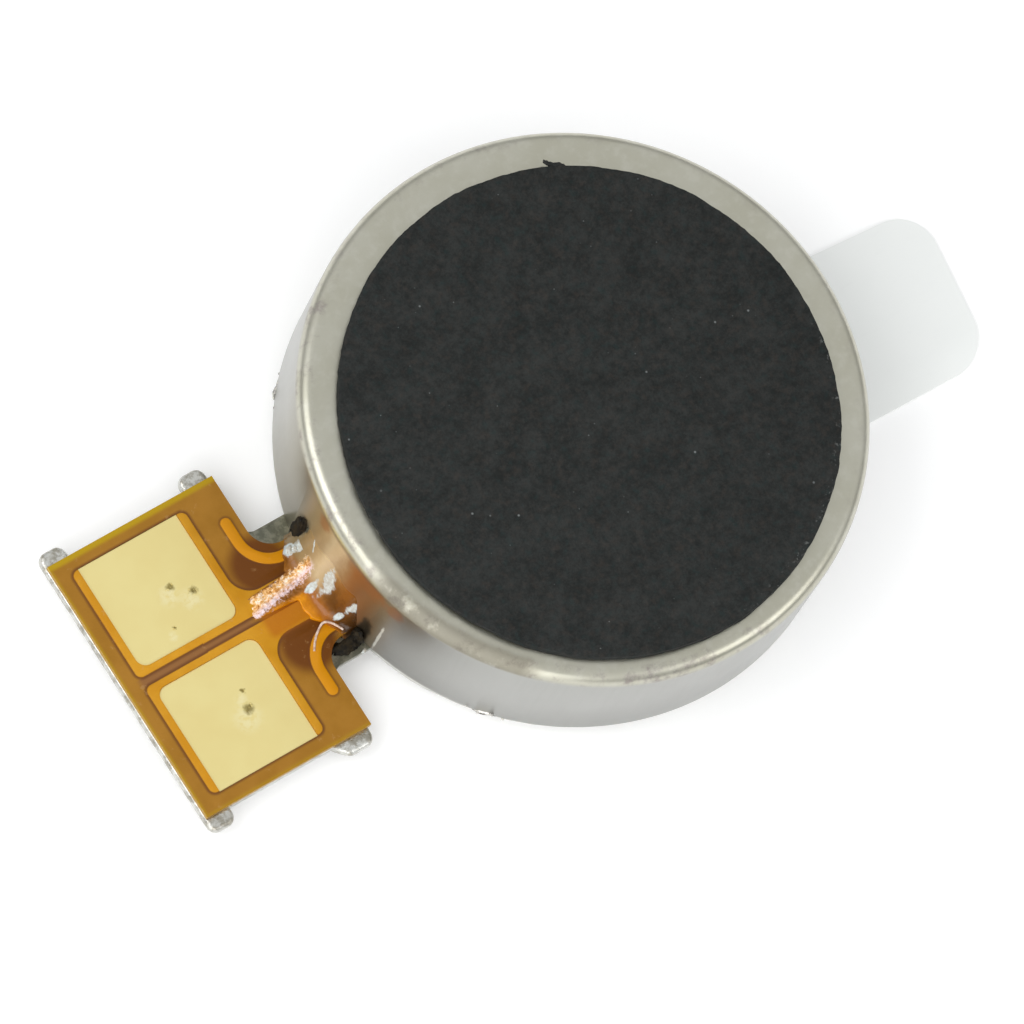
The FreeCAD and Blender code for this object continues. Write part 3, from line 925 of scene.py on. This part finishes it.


# %% [markdown]
# ### The cover film's colour
#
# Amber film is brown over polyimide and orange over copper, with a painted shadow line along the
# foot of each step. The finish works out how far each point is from the copper, so its colours
# and the raised islands always agree.

# %% Amber film
def cover_finish():
    f = Finish("amber_cover_film")
    cloud = f.noise(1.3, 4, 0.6)
    grain = f.noise(30, 3, 0.6)
    copper = copper_distance(f)
    guard = guard_distance(f)
    side = abs(f.y)
    brown = f.mix(cloud.step(0.3, 0.7), rgb(148, 102, 22), rgb(160, 112, 34))
    edge = f.y.step(2.42, 2.5).most(f.y.step(-2.47, -2.55) * 0.4)
    edge = edge.most(f.x.step(-8.86, -8.93) * 0.6)
    brown = f.mix(edge * 0.85, brown, rgb(176, 144, 0))
    between = side.step(0.1, 0.06) * f.x.step(-6.2, -6.5) * f.x.step(-8.74, -8.58)
    brown = f.mix(between * 0.8, brown, rgb(132, 88, 52))
    thick = 1 - circle_distance(f.x, side, (-5.72, 0.8)).step(0.38, 0.66)
    brown = f.mix(thick * 0.85, brown, rgb(92, 42, 0))
    # Painted shadow: a dark line along the foot of each copper step.
    line = copper.step(0.075, 0.015).most(guard.step(0.06, 0.01) * 0.7)
    f.colour = f.mix(line * 0.8, brown, rgb(98, 56, 24))
    orange = f.mix(cloud.step(0.35, 0.7), rgb(190, 130, 10), rgb(200, 143, 28))
    f.coat(copper.step(0.012, -0.012), orange)
    f.coat(guard.step(0.012, -0.012), rgb(202, 134, 0))
    shaken = f.x + (cloud - 0.5) * 0.2
    wetted = box_distance(shaken, f.y, (-6.24, -0.46), (-4.8, 0.02), 0.12).step(0.06, -0.1)
    f.coat(wetted * 0.75, rgb(172, 98, 0))
    f.coat(f.noise(5, 4, 0.7).step(0.62, 0.72) * 0.25, rgb(190, 150, 100))
    normal = f.bump(cloud, 0.006, 0.6, f.bump(grain, 0.0012))
    rough = 0.3 + 0.14 * grain
    return f.show(Normal=normal, Roughness=rough, Specular_IOR_Level=0.25)


# %% The film and its raised islands
RISE = 0.014 * MM
SINK = 0.012 * MM
ISLAND_ROUND = 0.01 * MM
CREASE = 0.5  # radians
COPPER = ("flex_trace_positive", "flex_trace_negative", "flex_tear_guards")

island_top = cover_high.z + RISE
cover = copy_of("flex_coverlay", "cover_film")


def raise_copper(node):
    """A copy of a copper node, cut down to what the film covers, and lifted through it."""
    piece = copy_of(node, "island_" + node)
    base = min(v.co.z for v in piece.data.vertices)
    for vertex in piece.data.vertices:
        low = vertex.co.z < base + NEAR
        vertex.co.z = cover_high.z - SINK if low else island_top
    combine(piece, add_box("keep", (-9.5 * MM, -3 * MM, 0), (-2.3 * MM, 3 * MM, MM)), "INTERSECT")

    def top_edge(edge):
        raised = all(v.co.z > island_top - HAIR for v in edge.verts)
        return raised and edge.is_manifold and edge.calc_face_angle() > CREASE

    round_edge(piece, top_edge, ISLAND_ROUND, 2)
    return piece


for island in [raise_copper(node) for node in COPPER]:
    combine(cover, island, "UNION")
print("cover film with its islands:", len(cover.data.polygons), "faces")

# %% The two windows
WINDOW = (Vector((-8.5, 0.22)), Vector((-6.48, 2.28)), 0.195 * MM)
pad_bottom, pad_top = (corner.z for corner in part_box("contact_pad_positive"))


def window_block(name, low, high, corner, top, side):
    """A block with two rounded corners towards the middle of the board."""
    ends = sorted((side * low.y * MM, side * high.y * MM))
    block = add_box(name, (low.x * MM, ends[0], pad_bottom), (high.x * MM, ends[1], top))

    def inner(edge):
        return upright(edge) and abs(edge.verts[0].co.y - side * low.y * MM) < NEAR

    round_edge(block, inner, corner, 12)
    return block


for side in (1, -1):
    combine(cover, window_block("window", *WINDOW, MM, side), "DIFFERENCE")
smooth(cover, 40)
dress(cover, cover_finish())
place(cover, "stator", "coverlay", "flex_coverlay")


# %% [markdown]
# ### The films and foil below
#
# The polyimide base and the copper foil only show at their edges, so they keep their CAD shapes.

# %% Polyimide and foil
def polyimide():
    f = Finish("polyimide")
    cloud = f.noise(2, 4, 0.6)
    fibre = f.noise(1, 3, 0.6, f.stretched(4, 40, 4))
    f.colour = f.mix(cloud.step(0.3, 0.7), rgb(150, 110, 22), rgb(164, 122, 34))
    return f.show(Roughness=0.28 + 0.15 * fibre, Normal=f.bump(fibre, 0.004))


foil = plain("copper_foil", lambda f: f.noise(1, 4, 0.6, f.stretched(3, 40, 3)),
             rgb(196, 112, 70), rgb(226, 150, 104), None, 0.24, 0.2, Metallic=0.95)
dress_node("flex_base", polyimide())
for node in COPPER:
    dress_node(node, foil)


# %% [markdown]
# ## The gold contacts
#
# Each contact is copper plated with nickel and a thin matt gold, and fills its window. The phone's
# spring pins leave dents in it: small uneven balls, taken out of the block.

# %% Matt gold. Each dent is a place and a size.
SCUFFS = {1: [(-7.28, 1.22, 0.105), (-6.96, 0.98, 0.11), (-7.6, 0.57, 0.048)],
          -1: [(-7.26, -1.28, 0.14), (-7.19, -0.95, 0.062)]}


def matt_gold(name, side):
    """Pale matt gold. Each dent is dirty, and a lighter smear runs away from it."""
    f = Finish(name)
    cloud = f.noise(0.9, 3, 0.5)
    grain = f.noise(60, 3, 0.7)
    f.colour = f.mix(cloud.step(0.3, 0.7), (0.86, 0.725, 0.315, 1), (0.89, 0.77, 0.35, 1))
    speck = f.noise(8, 3, 0.6)
    push = f.vector("SUBTRACT", {0: f.noise(14, 3, output="Color"), 1: (0.5, 0.5, 0.5)})
    crumple = f.vector("MULTIPLY", {0: push, 1: (0.12, 0.12, 0)})
    ragged = f.vector("ADD", {0: f.mm, 1: crumple})
    dirt = None
    for x, y, size in SCUFFS[side]:
        smear = f.distance(x - 0.1, y - 0.12).step(2.6 * size, 0.4 * size) * speck.step(0.35, 0.6)
        f.coat(smear * 0.55, rgb(252, 244, 200))
        away = f.vector("DISTANCE", {0: ragged, 1: (x, y, pad_top / MM)}, 1)
        spot = away.step(0.95 * size, 0.3 * size) * speck.step(0.25, 0.45)
        dirt = spot if dirt is None else dirt.most(spot)
    f.coat(dirt * 0.75, rgb(116, 100, 30))
    rough = 0.44 + 0.12 * dirt
    return f.show(Metallic=0.82, Roughness=rough, Normal=f.bump(grain, 0.0012))


# %% Both contacts, each with its dents
GOLD = (Vector((-8.497, 0.223)), Vector((-6.483, 2.277)), 0.192 * MM)
GOLD_ROUND = 0.006 * MM
DENT_DEEP, DENT_LIFT, DENT_STEP = 0.018, 0.006, 0.42

for side, word in ((1, "positive"), (-1, "negative")):
    gold = window_block("gold_" + word, *GOLD, pad_top, side)
    round_edge(gold, lambda edge: all(v.co.z > pad_top - HAIR for v in edge.verts), GOLD_ROUND, 2)
    for k, (x, y, size) in enumerate(SCUFFS[side]):
        half = (size * 0.34, size * 0.22, DENT_DEEP)
        for j in range(3):
            shift = DENT_STEP * size * (j - 1)
            where = (x + shift, y + 0.6 * shift * (-1) ** k, pad_top / MM + DENT_LIFT)
            dent = lump("dent", where, half, k * 3 + j + side, 0.3, 0.6 * j, 2)
            combine(gold, dent, "DIFFERENCE")
    smooth(gold, 8)
    dress(gold, matt_gold("matt_gold_" + word, side))
    place(gold, "stator", "gold_plate", "contact_pad_" + word)


# %% [markdown]
# ## The resin over the neck
#
# A bead of amber resin seals the notch where the circuit enters the case. It climbs the wall like
# water in a glass, covers the neck, and ran out along one trace, where it set with a wrinkled
# frosted skin. Each point of a grid is moved onto a profile: down the wall as far as the KNEE,
# round a hollow FILLET and out over the film. Extruding it down and flattening that end closes it.

# %% Resin finishes, and its pale spots: (y, z) on the wall, (x, y) on the flat
WALL_SPOTS = [
    ((-0.16, 1.16), (0.135, 0.46), 0.12),
    ((-0.78, 1.17), (0.075, 0.26), -0.15),
    ((-0.7, 0.72), (0.06, 0.09)),
    ((0.46, 1.35), (0.025, 0.22), 0.25),
]
FLAT_SPOTS = [
    ((-5.13, 0.755), (0.12, 0.095)),
    ((-5.2, -0.01), (0.12, 0.06), 0.2),
    ((-5.02, 0.66), (0.05, 0.07)),
]


def pale_spots(f):
    """Places where the resin is white: air, and the light on its steepest curves."""
    shake = (f.noise(5.5, 3, 0.6) - 0.5) * 1.9
    flat = nearest(f.x, f.y, FLAT_SPOTS).most(f.z.step(0.86, 0.9) * 3)
    return (nearest(f.y, f.z, WALL_SPOTS).least(flat) + shake).step(1.2, 0.75)


def amber_resin():
    """Clear amber, so its colour follows what is under it: cream, tan or brown, partly a painted
    reflection of the neck, and nearly black in the painted corner shade.
    """
    f = Finish("amber_resin")
    cloud = f.noise(3.5, 4, 0.65, f.stretched(1, 1, 0.5))
    fine = f.noise(16, 4, 0.7)
    f.colour = neck_tint_and_reflection(f)
    deep = f.mix(cloud.step(0.35, 0.65), rgb(84, 50, 14), rgb(126, 78, 26))
    low_side = f.y.step(0.0, -0.4) * f.z.step(1.75, 1.05)
    f.coat(low_side * 0.85, deep)
    f.coat(f.y.step(-0.62, -0.95), rgb(66, 40, 16))
    # Painted shade in the corners by the neck.
    f.coat(corner_shade(f), rgb(38, 36, 26))
    brown = f.mix(cloud.step(0.3, 0.7), rgb(122, 72, 12), rgb(162, 106, 40))
    f.coat(f.x.step(-5.05, -5.22), brown)
    bright = f.mix(cloud.step(0.3, 0.7), rgb(196, 118, 0), rgb(226, 148, 16))
    amber = f.mix(f.x.step(-5.24, -5.38), rgb(160, 92, 6), bright)
    f.coat(f.x.step(-5.1, -5.26) * f.y.step(0.05, -0.04), amber)
    ragged = (fine - 0.5) * 0.4
    band_middle = 0.165 + (f.x + 6.3) * 0.13
    band_half = 0.18 - (f.x + 6.3) * 0.06
    band = (abs(f.y - band_middle) + ragged - band_half).step(0.04, -0.04) * f.z.step(1.05, 0.8)
    # The frosted band: gold-orange skin whose pale and violet flecks are partly white crystals of
    # resin and partly painted sparkle highlights.
    glitter = f.noise(11, 4, 0.75, f.stretched(0.8, 1.3, 1))
    skin = f.mix(glitter.step(0.34, 0.52), rgb(176, 108, 40), rgb(236, 182, 108))
    skin = f.mix(glitter.step(0.5, 0.61) * 0.85, skin, rgb(252, 238, 220))
    bottom_edge = (f.y - band_middle + band_half).step(0.17, 0.03)
    skin = f.mix(bottom_edge * glitter.step(0.38, 0.5) * 0.8, skin, rgb(230, 214, 228))
    f.coat(band, skin)
    pale = pale_spots(f)
    white = f.mix(fine.step(0.35, 0.65), rgb(214, 226, 228), rgb(186, 190, 184))
    f.coat(pale * 0.94, white)
    normal = f.bump(fine, 0.01, 0.25, f.bump(cloud + pale * 0.6, 0.02, 0.5))
    return f.show(Roughness=0.15 + 0.12 * band, Normal=normal, IOR=1.42)


# Pale lumps: white resin, partly painted highlight on its glossy bumps.
pale_resin = plain("pale_resin", lambda f: f.noise(10, 3, 0.6), rgb(216, 224, 222),
                   rgb(182, 176, 162), (0.35, 0.6), 0.14, 0, 0.004)
# Dark lumps that stand in for the shade in the corners by the neck.
burnt_resin = plain("burnt_resin", lambda f: f.noise(5, 4, 0.7), rgb(12, 11, 8), rgb(50, 42, 28),
                    (0.42, 0.72), 0.5, 0.3, 0.02, Specular_IOR_Level=0.2)


# %% The profile: how far out and how high the resin stands
film_top = cover_high.z / MM
RESIN_HALF = 1.04
WALL_R = 4.985
CLIMB = 1.22
KNEE = 0.6
FILLET = 0.34
REACH = [(-1.04, 0.22), (-0.88, 0.26), (-0.62, 0.38), (-0.45, 0.52),
         (-0.1, 0.5), (0.5, 0.42), (0.8, 0.3), (1.04, 0.16)]


def ramp(value, start, end):
    """0 at start, 1 at end, and smooth between them."""
    t = min(1, max(0, (value - start) / (end - start)))
    return t * t * (3 - 2 * t)


def along(table, value):
    """Reads a table of pairs, with straight lines between them."""
    for (x0, y0), (x1, y1) in zip(table, table[1:]):
        if value <= x1:
            return y0 + (y1 - y0) * max(0, value - x0) / (x1 - x0)
    return table[-1][1]


def resin_point(y, s):
    """A point of the skin: s is 0 at the top of the wall and 1 at the far edge on the film."""
    shake = noise.noise(Vector((y * 2.3, 1.7, 0)))
    climb = CLIMB * (0.16 + 0.84 * ramp(abs(y), RESIN_HALF, 0.7)) * (1 + 0.22 * shake)
    lobe = ramp(y, -0.07, 0.0) * ramp(y, 0.46, 0.36)
    reach = along(REACH, y) + 0.05 * noise.noise(Vector((y * 6.0, 5.2, 0)))
    reach += lobe * (0.9 + 0.06 * noise.noise(Vector((y * 14, 9.1, 0))))
    down = min(1, s / KNEE)
    out = max(0, (s - KNEE) / (1 - KNEE))
    fillet = min(FILLET, reach * 0.85)
    away = 0.019 * ramp(down, 0, 0.12) + fillet * down ** 2.4 + (reach - fillet) * out
    x = -math.sqrt(WALL_R ** 2 - y * y) - away
    height = climb * (1 - down) ** 2.0 + 0.055 * ramp(out, 1.0, 0.72) - 0.012
    ripple = noise.noise(Vector((x * 3, y * 3, 2.0))) * 0.035
    wrinkle = noise.noise(Vector((x * 13, y * 13, 4.0)))
    wrinkle += 0.6 * noise.noise(Vector((x * 27, y * 27, 6.0)))
    height += (ripple + 0.022 * lobe * wrinkle) * ramp(s, 0.15, 0.5) * ramp(out, 1.0, 0.85)
    height -= 0.16 * ramp(abs(y), 0.93, RESIN_HALF)
    return Vector((x, y, film_top + height)) * MM


# %% The skin, then the closed body
ACROSS = 170
ALONG = 150
BASE_GAP = 0.01 * MM

deselect()
bpy.ops.mesh.primitive_grid_add(x_subdivisions=ALONG, y_subdivisions=ACROSS, size=2)
skin = bpy.context.object
for vertex in skin.data.vertices:
    vertex.co = resin_point(vertex.co.y * RESIN_HALF, (1 - vertex.co.x) / 2)
named("resin_skin")
pick(skin)
bpy.ops.mesh.extrude_region_move(TRANSFORM_OT_translate={"value": (0, 0, -0.1 * MM)})
bpy.ops.transform.resize(value=(1, 1, 0), center_override=(0, 0, cover_low.z + BASE_GAP))
bpy.ops.mesh.select_all(action="SELECT")
bpy.ops.mesh.normals_make_consistent(inside=False)
leave(skin)
smooth(skin, 60)
dress(skin, amber_resin())
print("resin skin top at mm", round(max(v.co.z for v in skin.data.vertices) / MM, 2))

# %% Pale lumps (white resin, partly painted highlight) and dark lumps of painted shade in the corners by the neck: centre, half lengths, degrees, roughness. The raised edge: x, y, rise
PALE = [
    ((-5.13, 0.75, 0.6), (0.08, 0.065, 0.035), 20, 0.25),
    ((-5.06, 0.7, 0.7), (0.04, 0.055, 0.04), 60, 0.25),
    ((-4.94, -1.38, 0.44), (0.06, 0.025, 0.02), 15, 0.25),
]
SHADE_LUMPS = [
    ((-4.94, 0.92, 1.12), (0.055, 0.14, 0.46), 0, 0.26),
    ((-4.95, -1.14, 0.56), (0.07, 0.13, 0.24), 0, 0.26),
    ((-5.08, -1.15, 0.4), (0.26, 0.14, 0.075), 10, 0.26),
    ((-5.36, -1.1, 0.39), (0.18, 0.09, 0.045), 0, 0.26),
]
RIM_POINTS = [
    (-5.12, -0.92, 0.13),
    (-5.18, -0.76, 0.11),
    (-5.31, -0.61, 0.07),
    (-5.45, -0.68, 0.025),
    (-5.62, -0.82, 0.01),
    (-5.73, -0.98, 0.008),
]

groups = [skin]
for word, drops, finish in (("pale", PALE, pale_resin), ("burnt", SHADE_LUMPS, burnt_resin)):
    for k, (centre, size, angle, rough) in enumerate(drops):
        drop = lump(f"{word}_{k}", centre, size, k + len(word) * 3, rough, math.radians(angle), 4)
        groups.append(dress(drop, finish))

# %% The raised edge, from a curve. Its pale colour is a painted highlight along the resin's edge
THREAD_R = 0.022 * MM

deselect()
bpy.ops.curve.primitive_bezier_curve_add()
rim_line = bpy.context.object
rim_line.data.splines.clear()
spline = rim_line.data.splines.new("NURBS")
spline.points.add(len(RIM_POINTS) - 1)
for point, (x, y, rise) in zip(spline.points, RIM_POINTS):
    point.co = (x * MM, y * MM, cover_high.z + rise * MM, 1)
spline.order_u = 3
spline.use_endpoint_u = True
rim_line.data.dimensions = "3D"
rim_line.data.bevel_depth = THREAD_R
rim_line.data.bevel_resolution = 3
rim_line.data.use_fill_caps = True
only(rim_line)
bpy.ops.object.convert(target="MESH")
rim_line = named("resin_rim")
thread = metal("resin_rim_line", (170, 130, 104), (232, 214, 200), 0.15, (9, 9, 9), 0.004, 0)
dress(rim_line, thread)
resin = join([*groups, rim_line], "resin_seal")
place(resin, "stator", "seal_resin", "seal_resin")


# %% [markdown]
# ## Inside the case
#
# The case is closed, so the parts inside are only seen when it is taken away. They keep their exact
# CAD shapes, and each gets the finish of its own material.

# %% Wire
PER_TURN = 2 * math.pi / 0.09  # for wire 0.09 mm thick


def wound_wire(name, centre):
    """Enamelled wire: a ridge for each turn, round the middle of the coil."""
    f = Finish(name)
    turns = (f.distance(*centre) * PER_TURN).sine()
    layers = (f.z * PER_TURN).sine()
    ridge = turns.most(layers) * 0.5 + 0.5
    # Painted shade: the wire is darker in the grooves between turns and lighter on their crests.
    f.colour = f.mix(ridge, rgb(120, 46, 14), rgb(206, 104, 44))
    f.coat(f.noise(3, 3) * 0.3, rgb(160, 70, 30))
    return f.show(Metallic=0.75, Roughness=0.28, Normal=f.bump(ridge, 0.03))


# %% Dressing them: a dark and a bright colour, roughness, and the pattern's scale
bronze = plain("sintered_bronze", lambda f: f.cells(22).step(0.1, 0.3), rgb(62, 46, 30),
               rgb(178, 142, 92), None, 0.65, -0.3, 0.01, Metallic=0.9)
DRESSED = {
    "shaft": metal("turned_steel", (168, 168, 164), (214, 214, 208), 0.18, (3, 3, 40)),
    "detent_plate": metal("grey_steel", (128, 128, 124), (170, 170, 164), 0.3, (20, 2, 20)),
    "magnet": metal("magnet_nickel", (150, 150, 146), (186, 186, 180), 0.3, (9, 9, 9)),
    "brush_positive brush_negative":
        metal("spring_alloy", (186, 168, 120), (216, 200, 150), 0.22, (2, 30, 2)),
    "brush_solder_joints coil_solder_joints":
        metal("solder", (176, 178, 180), (214, 216, 216), 0.25, (12, 12, 12), 0.01),
    "washer_lower washer_upper": moulded("slip_film", (38, 38, 40), (58, 58, 60), 0.3),
    "bearing": bronze,
    "rotor_board": moulded("glass_laminate", (28, 84, 52), (44, 108, 70), 0.35, 14),
    "commutator": metal("commutator_gold", (200, 166, 82), (230, 200, 116), 0.24, (30, 30, 3)),
    "counterweight":
        metal("heavy_alloy", (112, 112, 110), (146, 146, 142), 0.36, (14, 14, 14), 0.006),
    "rotor_mould": moulded("mould_resin", (24, 25, 27), (44, 45, 48), 0.42, 10),
}
for names, material in DRESSED.items():
    for node in names.split():
        dress_node(node, material)
for node in ("coil_left", "coil_right"):
    low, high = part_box(node)
    mid = (low + high) / 2 / MM
    dress_node(node, wound_wire("enamelled_wire_" + node, (mid.x, mid.y)))


# %% [markdown]
# ## The size at the end
# #
# # The box round everything that shows is printed in millimetres.

# %% Sizes, then the end
low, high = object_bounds()
print("the visual box in mm:", [round(v / MM, 3) for v in (*low, *high)])
